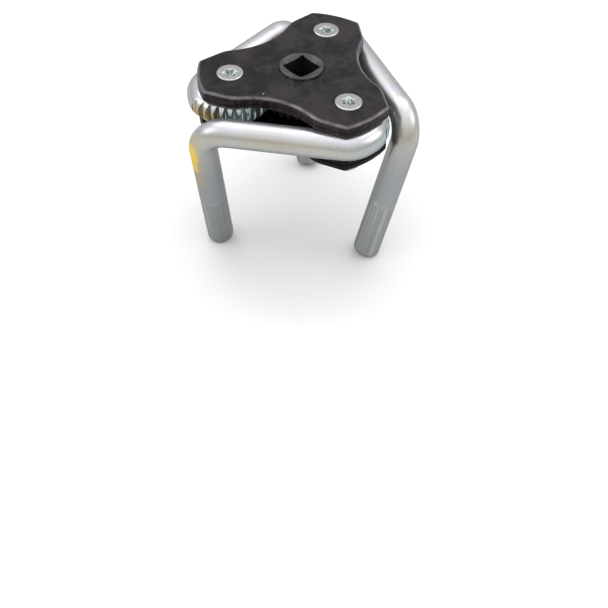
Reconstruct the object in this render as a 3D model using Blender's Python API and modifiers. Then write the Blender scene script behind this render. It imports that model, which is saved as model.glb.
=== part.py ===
"""Three-leg geared oil filter wrench: an assembly of separate solids, in metres, +Z up.

Origin on the square drive's axis at the height of the assembly's centre of
mass; +X runs through the first pivot. Design heights below are measured in
millimetres down from the top plate's upper face and shifted by Z_TOP.
"""
import bpy
import bmesh
import numpy as np
from math import sin, cos, tan, pi, sqrt, radians, degrees, atan2, acos, asin, hypot
from mathutils import Vector, Matrix

for ob in list(bpy.data.objects):
    bpy.data.objects.remove(ob, do_unlink=True)

# ------------------------------------------------------------ dimensions (mm)
MM = 0.001
Z_TOP = 16.57            # upper face of the top plate above the centre of mass
PIVOT_R = 25.65          # pivot circle radius
SQUARE = 9.75            # 3/8 inch female drive, across flats

PLATE_T = 4.65           # each plate's thickness
PLATE_GAP = 10.60        # daylight between the two plates
EDGE_ROLL = 1.60         # rounded outer rim of each plate
LOBE_CORNER = (35.95, 9.60)    # radial, tangential position of a lobe's corner
LOBE_TIP = 37.4          # crown of the lobe's end
SHOULDER = (25.95, 15.05)  # where a lobe's flank meets the hollow side
WAIST = 21.3             # closest approach of the hollow side to the axis

HEAD_T = 9.90            # arm head and gear thickness
TEETH_SUN = 24
TEETH_ARM = 28           # tooth count of the arm head's full circle
MODULE = 2 * PIVOT_R / (TEETH_SUN + TEETH_ARM)
PRESSURE = radians(20.0)
THINNING = 0.17          # taken off each tooth's thickness at the pitch circle
HUB_R = 7.95
HUB_HOLE_R = 8.25
HUB_RISE = 0.85
SQUARE_YAW = radians(123.6)
MOUTH_R = 7.40           # lead-in cone of the square drive
MOUTH_SLOPE = radians(17.0)

BAR_R = 5.00             # round bar
BAR_OFFSET = 11.85       # bar's centreline from its pivot
WRAP_RHO = 10.45         # centreline radius where the bar wraps its pivot
BAR_LEN = 49.85          # foot of the perpendicular to the bend's corner
BEND_R = 9.25            # at the centreline
ARM_YAW = radians(-137.6)    # bar's heading from the pivot's outward radius
FOOT_U, FOOT_N, FOOT_Z = 46.87, -0.46, -61.66   # foot centre from the head
TOOTH_FROM, TOOTH_TO = 173.0, 346.0   # toothed sector, degrees from the bar's heading
BLANK_R = 12.05          # untoothed back of the head
BORE_R = 4.80

SLEEVE_R, SLEEVE_BORE_R = 4.50, 3.30
SCREW_HEAD_R, SCREW_R = 4.72, 3.00
SCREW_RISE = 0.35
SINK_DEPTH = 1.80
STAR_R, STAR_WAVE, STAR_DEPTH = 2.16, 0.29, 1.60
WASHER_R, WASHER_T = 5.45, 1.50
NUT_AF, NUT_T = 10.0, 5.0
CLEAR = 0.30

Z_MID = -(PLATE_T + PLATE_GAP / 2)
Z_BOT = -(2 * PLATE_T + PLATE_GAP)

NAME = "oil_filter_wrench"
col = bpy.data.collections.new(NAME)
bpy.context.scene.collection.children.link(col)
cut = bpy.data.collections.new("cutters")
bpy.context.scene.collection.children.link(cut)


def zz(h):
    """Design height in millimetres to world metres."""
    return (h + Z_TOP) * MM


def material(name, rgb, metallic, rough):
    m = bpy.data.materials.new(name)
    m.use_nodes = True
    b = m.node_tree.nodes["Principled BSDF"]
    b.inputs["Base Color"].default_value = (rgb[0], rgb[1], rgb[2], 1.0)
    b.inputs["Metallic"].default_value = metallic
    b.inputs["Roughness"].default_value = rough
    m.diffuse_color = (rgb[0], rgb[1], rgb[2], 1.0)
    return m


def finish(mesh, angle=32.0):
    mesh.shade_smooth()
    mesh.set_sharp_from_angle(angle=radians(angle))


def place(ob, at=(0, 0, 0), yaw=0.0):
    ob.location = at
    ob.rotation_euler = (0, 0, yaw)


def add(name, mesh, mat=None, at=(0, 0, 0), yaw=0.0, cutter=False):
    ob = bpy.data.objects.new(name, mesh)
    (cut if cutter else col).objects.link(ob)
    if cutter:
        ob.hide_render = True
        ob.display_type = 'WIRE'
    if mat is not None:
        mesh.materials.clear()
        mesh.materials.append(mat)
    place(ob, at, yaw)
    return ob


def boolean(ob, other, op='DIFFERENCE'):
    m = ob.modifiers.new(op.title(), 'BOOLEAN')
    m.operation = op
    m.solver = 'EXACT'
    m.object = other
    return m


def bake_curve(cu, name):
    """Evaluated curve as a welded mesh datablock; the curve is removed."""
    tmp = bpy.data.objects.new(name + "_curve", cu)
    bpy.context.scene.collection.objects.link(tmp)
    bpy.context.view_layer.update()
    dg = bpy.context.evaluated_depsgraph_get()
    me = bpy.data.meshes.new_from_object(tmp.evaluated_get(dg))
    bm = bmesh.new()
    bm.from_mesh(me)
    bmesh.ops.remove_doubles(bm, verts=bm.verts, dist=2e-6)
    bmesh.ops.recalc_face_normals(bm, faces=bm.faces)
    bm.to_mesh(me)
    bm.free()
    me.name = name
    bpy.data.objects.remove(tmp, do_unlink=True)
    return me


def prism(name, pts, z0, z1):
    """Extruded 2D outline (mm), from z0 to z1 in the mesh's own frame."""
    cu = bpy.data.curves.new(name, 'CURVE')
    cu.dimensions = '2D'
    cu.fill_mode = 'BOTH'
    cu.extrude = (z1 - z0) / 2 * MM
    sp = cu.splines.new('POLY')
    sp.points.add(len(pts) - 1)
    for p, (x, y) in zip(sp.points, pts):
        p.co = (x * MM, y * MM, 0, 1)
    sp.use_cyclic_u = True
    me = bake_curve(cu, name)
    me.transform(Matrix.Translation((0, 0, (z0 + z1) / 2 * MM)))
    return me


def turned(name, profile, steps, closed=False):
    """Profile of (radius, height) in mm as an edge chain for the Screw modifier."""
    me = bpy.data.meshes.new(name)
    bm = bmesh.new()
    vs = [bm.verts.new((r * MM, 0, z * MM)) for r, z in profile]
    for a, b in zip(vs, vs[1:]):
        bm.edges.new((a, b))
    if closed:
        bm.edges.new((vs[-1], vs[0]))
    bm.to_mesh(me)
    bm.free()
    return me, steps


def spin(ob, steps):
    m = ob.modifiers.new("Turn", 'SCREW')
    m.angle = 2 * pi
    m.steps = steps
    m.render_steps = steps
    m.use_merge_vertices = True
    m.merge_threshold = 1e-5
    m.use_smooth_shade = True
    return m


def cylinder(name, r, z0, z1, n=48, r2=None):
    me = bpy.data.meshes.new(name)
    bm = bmesh.new()
    bmesh.ops.create_cone(bm, cap_ends=True, segments=n, radius1=r * MM,
                          radius2=(r if r2 is None else r2) * MM, depth=(z1 - z0) * MM,
                          matrix=Matrix.Translation((0, 0, (z0 + z1) / 2 * MM)))
    bm.to_mesh(me)
    bm.free()
    finish(me)
    return me


# ------------------------------------------------------------ plate outline
def rot2(p, a):
    return (p[0] * cos(a) - p[1] * sin(a), p[0] * sin(a) + p[1] * cos(a))


def arc_between(h, base, crown, n):
    """Points of the arc through (base, -h), (crown, 0), (base, h) as (radial, tangential)."""
    s = crown - base
    rr = (h * h + s * s) / (2 * abs(s))
    out = []
    for i in range(n + 1):
        t = -h + 2 * h * i / n
        d = sqrt(rr * rr - t * t)
        out.append((crown - rr + d if s > 0 else crown + rr - d, t))
    return out


def sharp_outline():
    """Unrounded outline and, for each vertex, its corner radius."""
    pts, rad = [], []
    sr, st = SHOULDER
    for k in range(3):
        a = 2 * pi / 3 * k
        end = arc_between(LOBE_CORNER[1], LOBE_CORNER[0], LOBE_TIP, 6)
        for i, p in enumerate(end):
            pts.append(rot2(p, a))
            rad.append(1.3 if i in (0, len(end) - 1) else 0.0)
        pts.append(rot2((sr, st), a))
        rad.append(5.0)
        c, s = cos(pi / 3), sin(pi / 3)
        dm, tm = sr * c + st * s, -sr * s + st * c
        side = arc_between(abs(tm), dm, WAIST, 9)
        for p in side[1:-1]:
            pts.append(rot2(p, a + pi / 3))
            rad.append(0.0)
        pts.append(rot2((sr, -st), a + 2 * pi / 3))
        rad.append(5.0)
    return pts, rad


def inset(pts, d):
    """Every edge moved inwards by d and the vertices rebuilt."""
    n = len(pts)
    out = []
    for i in range(n):
        p0, p1, p2 = (np.array(pts[(i + j) % n]) for j in (-1, 0, 1))
        e1, e2 = (p1 - p0) / np.linalg.norm(p1 - p0), (p2 - p1) / np.linalg.norm(p2 - p1)
        n1, n2 = np.array((-e1[1], e1[0])), np.array((-e2[1], e2[0]))
        b = n1 + n2
        out.append(tuple(p1 + b * d / (1 + float(n1 @ n2))))
    return out


def rounded(pts, rad):
    n = len(pts)
    out = []
    for i in range(n):
        r = rad[i]
        if r <= 0:
            out.append(pts[i])
            continue
        p0, p1, p2 = (np.array(pts[(i + j) % n]) for j in (-1, 0, 1))
        e1, e2 = (p0 - p1) / np.linalg.norm(p0 - p1), (p2 - p1) / np.linalg.norm(p2 - p1)
        half = acos(float(np.clip(e1 @ e2, -1, 1))) / 2
        t = min(r / tan(half), 0.48 * min(np.linalg.norm(p0 - p1), np.linalg.norm(p2 - p1)))
        rr = t * tan(half)
        c = p1 + (e1 + e2) / np.linalg.norm(e1 + e2) * (rr / sin(half))
        a, b = p1 + e1 * t - c, p1 + e2 * t - c
        a0, a1 = atan2(a[1], a[0]), atan2(b[1], b[0])
        da = (a1 - a0 + pi) % (2 * pi) - pi
        m = 3 if r > 2 else 2
        for j in range(m + 1):
            w = a0 + da * j / m
            out.append((c[0] + rr * cos(w), c[1] + rr * sin(w)))
    return out


def loft(name, rings):
    """Closed solid through equal-length rings, lowest first."""
    me = bpy.data.meshes.new(name)
    bm = bmesh.new()
    rows = [[bm.verts.new((x * MM, y * MM, z * MM)) for x, y in ring] for ring, z in rings]
    n = len(rows[0])
    for lo, hi in zip(rows, rows[1:]):
        for i in range(n):
            bm.faces.new((lo[i], lo[(i + 1) % n], hi[(i + 1) % n], hi[i]))
    bm.faces.new(list(reversed(rows[0])))
    bm.faces.new(rows[-1])
    bm.to_mesh(me)
    bm.free()
    return me


PTS, RAD = sharp_outline()


def plate_mesh(name, up):
    """Plate with its rolled rim upwards (up=1) or downwards (up=-1), z = 0 at that face."""
    steps = [(0.15, -PLATE_T), (0.0, -PLATE_T + 0.15)]
    for i in range(4):
        w = radians(90.0 * i / 3)
        steps.append((EDGE_ROLL * (1 - cos(w)), -EDGE_ROLL * 0.9 * (1 - sin(w))))
    rings = [(rounded(inset(PTS, d), RAD), z) for d, z in steps]
    if up < 0:
        rings = [(ring, -z) for ring, z in reversed(rings)]
    return loft(name, rings)


# ------------------------------------------------------------ gear teeth
def inv(a):
    return tan(a) - a


def tooth(n_teeth, centre):
    """One tooth about angle `centre`: (angle, radius) pairs."""
    rp = MODULE * n_teeth / 2
    rb = rp * cos(PRESSURE)
    rf, ra = rp - 1.22 * MODULE, rp + 0.97 * MODULE

    def half(r):
        ar = acos(min(1.0, rb / max(r, rb)))
        return pi / (2 * n_teeth) - THINNING / (2 * rp) + inv(PRESSURE) - inv(ar)
    side = [(half(rf), rf), (half(rp), rp), (half(ra), ra)]
    return [(centre - h, r) for h, r in side] + [(centre + h, r) for h, r in reversed(side)]


def ring_outline(n_teeth, phase):
    pts = []
    for i in range(n_teeth):
        for a, r in tooth(n_teeth, phase + 2 * pi * i / n_teeth):
            pts.append((r * cos(a), r * sin(a)))
    return pts


def head_outline():
    """Arm head seen from above; angles from the bar's heading."""
    pitch = 2 * pi / TEETH_ARM
    to_sun = pi - ARM_YAW                      # direction of the drive axis
    start, stop = radians(TOOTH_FROM), radians(TOOTH_TO)
    polar = []
    i0 = int((start - to_sun) / pitch) - 2
    for i in range(i0, i0 + 2 * TEETH_ARM):
        c = to_sun + (i + 0.5) * pitch
        if c - pitch / 2 >= start and c + pitch / 2 <= stop:
            polar += tooth(TEETH_ARM, c)
    a_end = polar[-1][0]
    a_start = polar[0][0] + 2 * pi
    # smooth back of the head, then the part buried in the wrapped bar
    back = [(a_end + radians(4), BLANK_R)]
    a = radians(360)
    while a < radians(360 + 78):
        back.append((a, BLANK_R))
        a += radians(13)
    wrap = [(radians(360 + d), 10.9) for d in (86, 100, 114, 128, 142, 156)]
    wrap.append((a_start - radians(5), 12.25))
    return [(r * cos(a), r * sin(a)) for a, r in polar + back + wrap]


# ------------------------------------------------------------ bent bar
def bar_path():
    """(x, y, z, radius factor) along the bar in the arm's own frame, mm."""
    pts = []
    for i in range(9):
        s = i / 8
        ang = radians(186 - 96 * s)
        t = min(1.0, max(0.0, (radians(142) - ang) / radians(52)))
        t = t * t * (3 - 2 * t)
        rho = WRAP_RHO + (BAR_OFFSET - WRAP_RHO) * t
        f = 1.0
        if i == 0:
            rho, f = 8.95, 0.52
        elif i == 1:
            rho, f = 10.1, 0.86
        pts.append((rho * cos(ang), rho * sin(ang), 0.0, f))
    corner = Vector((BAR_LEN, BAR_OFFSET, 0))
    foot = Vector((FOOT_U, FOOT_N, FOOT_Z))
    d1 = Vector((1, 0, 0))
    d2 = (foot - corner).normalized()
    turn = acos(d1.dot(d2))
    t = BEND_R * tan(turn / 2)
    p1 = corner - d1 * t
    nrm = (d2 - d1 * d1.dot(d2)).normalized()
    c = p1 + nrm * BEND_R
    n = 7
    for i in range(n + 1):
        a = turn * i / n
        p = c - nrm * BEND_R * cos(a) + d1 * BEND_R * sin(a)
        pts.append((p.x, p.y, p.z, 1.0))
    for back, f in ((2.0, 1.0), (1.0, 0.93), (0.3, 0.80), (0.0, 0.66)):
        p = foot - d2 * back
        pts.append((p.x, p.y, p.z, f))
    return pts


def bar_mesh(name):
    cu = bpy.data.curves.new(name, 'CURVE')
    cu.dimensions = '3D'
    cu.bevel_depth = BAR_R * MM
    cu.bevel_resolution = 8
    cu.use_fill_caps = True
    cu.twist_mode = 'MINIMUM'
    sp = cu.splines.new('POLY')
    path = bar_path()
    sp.points.add(len(path) - 1)
    for p, (x, y, z, f) in zip(sp.points, path):
        p.co = (x * MM, y * MM, z * MM, 1)
        p.radius = f
    me = bake_curve(cu, name)
    finish(me, 40)
    return me


# ------------------------------------------------------------ materials
steel_black = [material("plate_top_black", (0.045, 0.042, 0.047), 0.6, 0.5),
               material("plate_bottom_black", (0.040, 0.038, 0.042), 0.6, 0.5)]
gear_dark = material("gear_dark", (0.09, 0.085, 0.09), 0.8, 0.42)

# ------------------------------------------------------------ plates
hub_hole = cylinder("hub_hole", HUB_HOLE_R, -30, 8, 44)
sink_profile = [(0, 1.2), (SCREW_HEAD_R + CLEAR + 1.2, 1.2), (SCREW_HEAD_R + CLEAR + 0.0, 0.0),
                (SCREW_R + CLEAR, -SINK_DEPTH), (SCREW_R + CLEAR, -PLATE_T - 1.0), (0, -PLATE_T - 1.0)]
sink_mesh, sink_steps = turned("screw_sink", sink_profile, 32)
plain_hole = cylinder("screw_clearance", SCREW_R + CLEAR, -PLATE_T - 1, PLATE_T + 1, 28)

top = add("top_plate", plate_mesh("top_plate", 1), steel_black[0], at=(0, 0, zz(0)))
bottom = add("bottom_plate", plate_mesh("bottom_plate", -1), steel_black[1], at=(0, 0, zz(Z_BOT)))
for ob in (top, bottom):
    finish(ob.data)
hh = add("cut_hub_hole", hub_hole, at=(0, 0, zz(0)), cutter=True)
boolean(top, hh)
boolean(bottom, hh)
for k in range(3):
    a = 2 * pi / 3 * k
    x, y = PIVOT_R * cos(a) * MM, PIVOT_R * sin(a) * MM
    c1 = add("cut_sink_%d" % (k + 1), sink_mesh, at=(x, y, zz(0)), cutter=True)
    spin(c1, sink_steps)
    boolean(top, c1)
    c2 = add("cut_screw_hole_%d" % (k + 1), plain_hole, at=(x, y, zz(Z_BOT + PLATE_T / 2)), cutter=True)
    boolean(bottom, c2)

# ------------------------------------------------------------ drive gear
gear = add("drive_gear", prism("drive_gear", ring_outline(TEETH_SUN, 0.0), -HEAD_T / 2, HEAD_T / 2),
           gear_dark, at=(0, 0, zz(Z_MID)))
finish(gear.data, 25)
h_top, h_bot = HUB_RISE - Z_MID, Z_BOT - HUB_RISE - Z_MID
hub_profile = [(0, h_top), (HUB_R - 0.12, h_top), (HUB_R, h_top - 0.12),
               (HUB_R, h_bot + 0.12), (HUB_R - 0.12, h_bot), (0, h_bot)]
hub_mesh, hub_steps = turned("gear_hub", hub_profile, 44)
hub = add("union_gear_hub", hub_mesh, at=(0, 0, zz(Z_MID)), cutter=True)
spin(hub, hub_steps)
boolean(gear, hub, 'UNION')
sq = SQUARE / 2
square = add("cut_square", prism("cut_square", [(sq, sq), (-sq, sq), (-sq, -sq), (sq, -sq)],
                                 h_bot - 3, h_top + 3), at=(0, 0, zz(Z_MID)),
             yaw=SQUARE_YAW, cutter=True)
boolean(gear, square)
rise = 0.6
run = rise / tan(MOUTH_SLOPE)
deep = 2.0
cone = cylinder("mouth_cone", MOUTH_R - deep / tan(MOUTH_SLOPE), -deep, rise, 44, r2=MOUTH_R + run)
m1 = add("cut_mouth_top", cone, at=(0, 0, zz(HUB_RISE)), cutter=True)
cone2 = cylinder("mouth_cone_low", MOUTH_R + run, -rise, deep, 44, r2=MOUTH_R - deep / tan(MOUTH_SLOPE))
m2 = add("cut_mouth_bottom", cone2, at=(0, 0, zz(Z_BOT - HUB_RISE)), cutter=True)
boolean(gear, m1)
boolean(gear, m2)

# ------------------------------------------------------------ jaw arms
edge = 1.5
ra = MODULE * TEETH_ARM / 2 + 1.2
blank_profile = [(0, HEAD_T / 2), (ra - edge - 0.7, HEAD_T / 2), (ra - 0.75 - 0.35, HEAD_T / 2 - 0.55),
                 (ra - 0.3, HEAD_T / 2 - edge), (ra, HEAD_T / 2 - edge - 1.0),
                 (ra, -HEAD_T / 2 + edge + 1.0), (ra - 0.3, -HEAD_T / 2 + edge),
                 (ra - 0.75 - 0.35, -HEAD_T / 2 + 0.55), (ra - edge - 0.7, -HEAD_T / 2), (0, -HEAD_T / 2)]
blank, blank_steps = turned("arm_head_blank", blank_profile, 40)
head_prism = prism("arm_head_outline", head_outline(), -HEAD_T / 2 - 1, HEAD_T / 2 + 1)
finish(head_prism, 25)
bar = bar_mesh("arm_bar")
bore = cylinder("arm_bore", BORE_R, -HEAD_T, HEAD_T, 28)
for k in range(3):
    a = 2 * pi / 3 * k
    at = (PIVOT_R * cos(a) * MM, PIVOT_R * sin(a) * MM, zz(Z_MID))
    yaw = a + ARM_YAW
    zinc = material("arm_zinc_%d" % (k + 1), (0.62 + 0.01 * k, 0.63, 0.65), 0.95, 0.28)
    arm = add("jaw_arm_%d" % (k + 1), blank.copy(), zinc, at=at, yaw=yaw)
    spin(arm, blank_steps)
    boolean(arm, add("keep_head_%d" % (k + 1), head_prism, at=at, yaw=yaw, cutter=True), 'INTERSECT')
    boolean(arm, add("join_bar_%d" % (k + 1), bar, at=at, yaw=yaw, cutter=True), 'UNION')
    boolean(arm, add("cut_bore_%d" % (k + 1), bore, at=at, yaw=yaw, cutter=True))

# ------------------------------------------------------------ pivots
star = []
for i in range(24):
    a = 2 * pi * i / 24
    r = STAR_R + STAR_WAVE * cos(6 * a)
    star.append((r * cos(a), r * sin(a)))
star_mesh = prism("star_recess", star, -STAR_DEPTH, 3.0)
washer_z = Z_BOT - CLEAR
nut_z = washer_z - WASHER_T - CLEAR
screw_end = nut_z - NUT_T - 1.0
screw_profile = [(0, SCREW_RISE), (SCREW_HEAD_R - 0.45, SCREW_RISE), (SCREW_HEAD_R - 0.12, SCREW_RISE - 0.13),
                 (SCREW_HEAD_R, 0.0), (SCREW_HEAD_R, -0.10), (SCREW_R, -SINK_DEPTH - 0.10),
                 (SCREW_R, screw_end + 0.6), (SCREW_R - 0.6, screw_end), (0, screw_end)]
screw_mesh, screw_steps = turned("pivot_screw", screw_profile, 28)
sleeve_profile = [(SLEEVE_BORE_R, HEAD_T / 2), (SLEEVE_R - 0.2, HEAD_T / 2), (SLEEVE_R, HEAD_T / 2 - 0.2),
                  (SLEEVE_R, -HEAD_T / 2 + 0.2), (SLEEVE_R - 0.2, -HEAD_T / 2), (SLEEVE_BORE_R, -HEAD_T / 2)]
sleeve_mesh, sleeve_steps = turned("pivot_sleeve", sleeve_profile, 28, closed=True)
washer_profile = [(SCREW_R + CLEAR, 0), (WASHER_R, 0), (WASHER_R, -WASHER_T), (SCREW_R + CLEAR, -WASHER_T)]
washer_mesh, washer_steps = turned("lock_washer", washer_profile, 28, closed=True)
ac = NUT_AF / sqrt(3)
nut_profile = [(0, 0), (NUT_AF / 2 - 0.1, 0), (ac + 0.1, -0.75), (ac + 0.1, -NUT_T + 0.75),
               (NUT_AF / 2 - 0.1, -NUT_T), (0, -NUT_T)]
nut_mesh, nut_steps = turned("nut_blank", nut_profile, 24)
hexagon = [(ac * cos(pi / 3 * i + 0.1), ac * sin(pi / 3 * i + 0.1)) for i in range(6)]
hex_mesh = prism("nut_hexagon", hexagon, -NUT_T - 1, 1)
nut_bore = cylinder("nut_bore", SCREW_R + CLEAR, -NUT_T - 1, 1, 28)
slit = bpy.data.meshes.new("washer_slit")
bm = bmesh.new()
bmesh.ops.create_cube(bm, size=1.0, matrix=Matrix.Translation((4.6 * MM, 0, -WASHER_T / 2 * MM)) @
                      Matrix.Rotation(radians(12), 4, 'X') @ Matrix.Diagonal((4.5 * MM, 0.7 * MM, 4 * MM, 1)))
bm.to_mesh(slit)
bm.free()
for k in range(3):
    a = 2 * pi / 3 * k
    x, y = PIVOT_R * cos(a) * MM, PIVOT_R * sin(a) * MM
    t = a + 0.35 * k
    shade = 0.01 * k
    s = add("pivot_screw_%d" % (k + 1), screw_mesh.copy(), material("screw_zinc_%d" % (k + 1), (0.52 + shade, 0.53, 0.54), 0.95, 0.3),
            at=(x, y, zz(0)), yaw=t)
    spin(s, screw_steps)
    boolean(s, add("cut_star_%d" % (k + 1), star_mesh, at=(x, y, zz(SCREW_RISE)), yaw=t, cutter=True))
    v = add("pivot_sleeve_%d" % (k + 1), sleeve_mesh.copy(), material("sleeve_steel_%d" % (k + 1), (0.45 + shade, 0.45, 0.46), 0.95, 0.35),
            at=(x, y, zz(Z_MID)))
    spin(v, sleeve_steps)
    w = add("lock_washer_%d" % (k + 1), washer_mesh.copy(), material("washer_zinc_%d" % (k + 1), (0.55 + shade, 0.55, 0.56), 0.95, 0.32),
            at=(x, y, zz(washer_z)), yaw=t)
    spin(w, washer_steps)
    boolean(w, add("cut_slit_%d" % (k + 1), slit, at=(x, y, zz(washer_z)), yaw=t, cutter=True))
    n = add("hex_nut_%d" % (k + 1), nut_mesh.copy(), material("nut_zinc_%d" % (k + 1), (0.57 + shade, 0.57, 0.58), 0.95, 0.32),
            at=(x, y, zz(nut_z)), yaw=t)
    spin(n, nut_steps)
    boolean(n, add("keep_hex_%d" % (k + 1), hex_mesh, at=(x, y, zz(nut_z)), yaw=t, cutter=True), 'INTERSECT')
    boolean(n, add("cut_nut_bore_%d" % (k + 1), nut_bore, at=(x, y, zz(nut_z)), cutter=True))
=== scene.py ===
import bpy
import bmesh
import numpy as np
from math import sin, cos, tan, pi, sqrt, radians, atan2, acos
from mathutils import Vector, Matrix


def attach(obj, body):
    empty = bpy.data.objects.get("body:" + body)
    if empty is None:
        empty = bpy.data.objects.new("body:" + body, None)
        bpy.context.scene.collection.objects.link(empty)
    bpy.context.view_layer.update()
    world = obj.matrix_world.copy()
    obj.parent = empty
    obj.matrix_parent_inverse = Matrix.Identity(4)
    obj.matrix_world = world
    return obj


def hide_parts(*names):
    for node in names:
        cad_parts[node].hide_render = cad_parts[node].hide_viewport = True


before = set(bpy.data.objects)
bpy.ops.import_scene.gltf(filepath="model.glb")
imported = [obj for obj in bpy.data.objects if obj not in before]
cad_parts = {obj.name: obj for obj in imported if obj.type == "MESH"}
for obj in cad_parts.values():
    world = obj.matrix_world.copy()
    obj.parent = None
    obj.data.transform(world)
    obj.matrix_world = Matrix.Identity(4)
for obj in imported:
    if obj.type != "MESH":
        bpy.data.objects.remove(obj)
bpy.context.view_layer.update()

# ------------------------------------------------------------------ sizes (mm), as in the CAD
MM = 0.001
Z_TOP = 16.57
PIVOT_R = 25.65
SQUARE = 9.75
PLATE_T, PLATE_GAP, EDGE_ROLL = 4.65, 10.60, 1.60
LOBE_CORNER, LOBE_TIP, SHOULDER, WAIST = (35.95, 9.60), 37.4, (25.95, 15.05), 21.3
HEAD_T = 9.90
TEETH_SUN, TEETH_ARM = 24, 28
MODULE = 2 * PIVOT_R / (TEETH_SUN + TEETH_ARM)
PRESSURE = radians(20.0)
THINNING = 0.17
HUB_R, HUB_HOLE_R, HUB_RISE = 7.95, 8.25, 0.85
MOUTH_R, MOUTH_SLOPE = 7.40, radians(17.0)
BAR_R, BAR_OFFSET, WRAP_RHO, BAR_LEN, BEND_R = 5.00, 11.85, 10.45, 49.85, 9.25
ARM_YAW = radians(-137.6)
FOOT_U, FOOT_N, FOOT_Z = 46.87, -0.46, -61.66
TOOTH_FROM, TOOTH_TO, BLANK_R, BORE_R = 173.0, 346.0, 12.05, 4.80
HEAD_FROM, BARREL_RHO = 150.0, 9.85
SLEEVE_R, SLEEVE_BORE_R = 4.50, 3.30
SCREW_HEAD_R, SCREW_R, SCREW_RISE, SINK_DEPTH = 4.72, 3.00, 0.35, 1.80
STAR_R, STAR_WAVE, STAR_DEPTH = 2.16, 0.29, 1.60
WASHER_R, WASHER_T, NUT_AF, NUT_T, CLEAR = 5.45, 1.50, 10.0, 5.0, 0.30
Z_MID = -(PLATE_T + PLATE_GAP / 2)
Z_BOT = -(2 * PLATE_T + PLATE_GAP)
SQUARE_YAW = radians(123.6)

scene = bpy.context.scene
VIEW_TURN = radians(188.53)      # the picture's left-right axis against the model's X


def zz(h):
    return (h + Z_TOP) * MM


# ------------------------------------------------------------------ mesh helpers
def bake(ob):
    """Evaluated mesh of ob, modifiers applied; ob is removed."""
    bpy.context.view_layer.update()
    dg = bpy.context.evaluated_depsgraph_get()
    me = bpy.data.meshes.new_from_object(ob.evaluated_get(dg))
    bpy.data.objects.remove(ob, do_unlink=True)
    return me


def holder(name, data):
    ob = bpy.data.objects.new(name, data)
    scene.collection.objects.link(ob)
    return ob


def face_out(bm):
    bmesh.ops.recalc_face_normals(bm, faces=bm.faces)
    if bm.calc_volume(signed=True) < 0:
        bmesh.ops.reverse_faces(bm, faces=bm.faces)


def weld(me, dist=2e-6):
    bm = bmesh.new()
    bm.from_mesh(me)
    bmesh.ops.remove_doubles(bm, verts=bm.verts, dist=dist)
    face_out(bm)
    bm.to_mesh(me)
    bm.free()
    return me


def prism(name, pts, z0, z1):
    return prisms(name, [pts], z0, z1)


def prisms(name, outlines, z0, z1):
    cu = bpy.data.curves.new(name, 'CURVE')
    cu.dimensions = '2D'
    cu.fill_mode = 'BOTH'
    cu.extrude = (z1 - z0) / 2 * MM
    for pts in outlines:
        sp = cu.splines.new('POLY')
        sp.points.add(len(pts) - 1)
        for p, (x, y) in zip(sp.points, pts):
            p.co = (x * MM, y * MM, 0, 1)
        sp.use_cyclic_u = True
    me = weld(bake(holder(name, cu)))
    me.transform(Matrix.Translation((0, 0, (z0 + z1) / 2 * MM)))
    return me


def turned(name, profile, steps, closed=False):
    """Solid of revolution from (radius, height) in mm, outer side top to bottom."""
    me = bpy.data.meshes.new(name)
    bm = bmesh.new()
    n = len(profile)
    rings = []
    for r, z in profile:
        if r < 1e-9:
            rings.append([bm.verts.new((0, 0, z * MM))])
        else:
            rings.append([bm.verts.new((r * MM * cos(2 * pi * i / steps), r * MM * sin(2 * pi * i / steps), z * MM))
                          for i in range(steps)])
    pairs = list(zip(rings, rings[1:])) + ([(rings[-1], rings[0])] if closed else [])
    for a, b in pairs:
        for i in range(steps):
            j = (i + 1) % steps
            if len(a) == 1:
                bm.faces.new((a[0], b[i], b[j]))
            elif len(b) == 1:
                bm.faces.new((a[i], b[0], a[j]))
            else:
                bm.faces.new((a[i], b[i], b[j], a[j]))
    face_out(bm)
    bm.to_mesh(me)
    bm.free()
    return me


def combine(base, *steps):
    """Booleans on a closed mesh: (mesh, operation) in turn."""
    ob = holder("work", base)
    others = []
    for me, op in steps:
        o = holder("tool", me)
        others.append(o)
        m = ob.modifiers.new("b", 'BOOLEAN')
        m.solver = 'MANIFOLD'
        m.operation = op
        m.object = o
    me = bake(ob)
    for o in others:
        bpy.data.objects.remove(o, do_unlink=True)
    return me


def smooth(me, angle=34.0, keep_level=True):
    me.shade_smooth()
    me.set_sharp_from_angle(angle=radians(angle))
    # level faces shade flat, and their own edges don't borrow a neighbour's slope
    level = [abs(f.normal.z) > 0.9995 for f in me.polygons]
    for f, flat in zip(me.polygons, level):
        if flat:
            f.use_smooth = False
    seen = {}
    for f, flat in zip(me.polygons, level):
        for k in f.edge_keys:
            seen.setdefault(k, set()).add(flat)
    sharp = me.attributes.get("sharp_edge") or me.attributes.new("sharp_edge", 'BOOLEAN', 'EDGE')
    for e in me.edges:
        if len(seen.get(e.key, ())) == 2 and keep_level:
            sharp.data[e.index].value = True
    return me


def piece(name, me, mat, body, nodes=(), at=(0, 0, 0), yaw=0.0):
    """Mesh set at its place in the frame, riding its body."""
    me = me.copy()
    me.transform(Matrix.Translation(at) @ Matrix.Rotation(yaw, 4, 'Z'))
    me.materials.clear()
    for m in (mat if isinstance(mat, (list, tuple)) else [mat]):
        me.materials.append(m)
    ob = holder(name, me)
    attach(ob, body)
    if nodes:
        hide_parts(*nodes)
    return ob


# ------------------------------------------------------------------ plate outline
def rot2(p, a):
    return (p[0] * cos(a) - p[1] * sin(a), p[0] * sin(a) + p[1] * cos(a))


def arc_between(h, base, crown, n):
    s = crown - base
    rr = (h * h + s * s) / (2 * abs(s))
    out = []
    for i in range(n + 1):
        t = -h + 2 * h * i / n
        d = sqrt(rr * rr - t * t)
        out.append((crown - rr + d if s > 0 else crown + rr - d, t))
    return out


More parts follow.
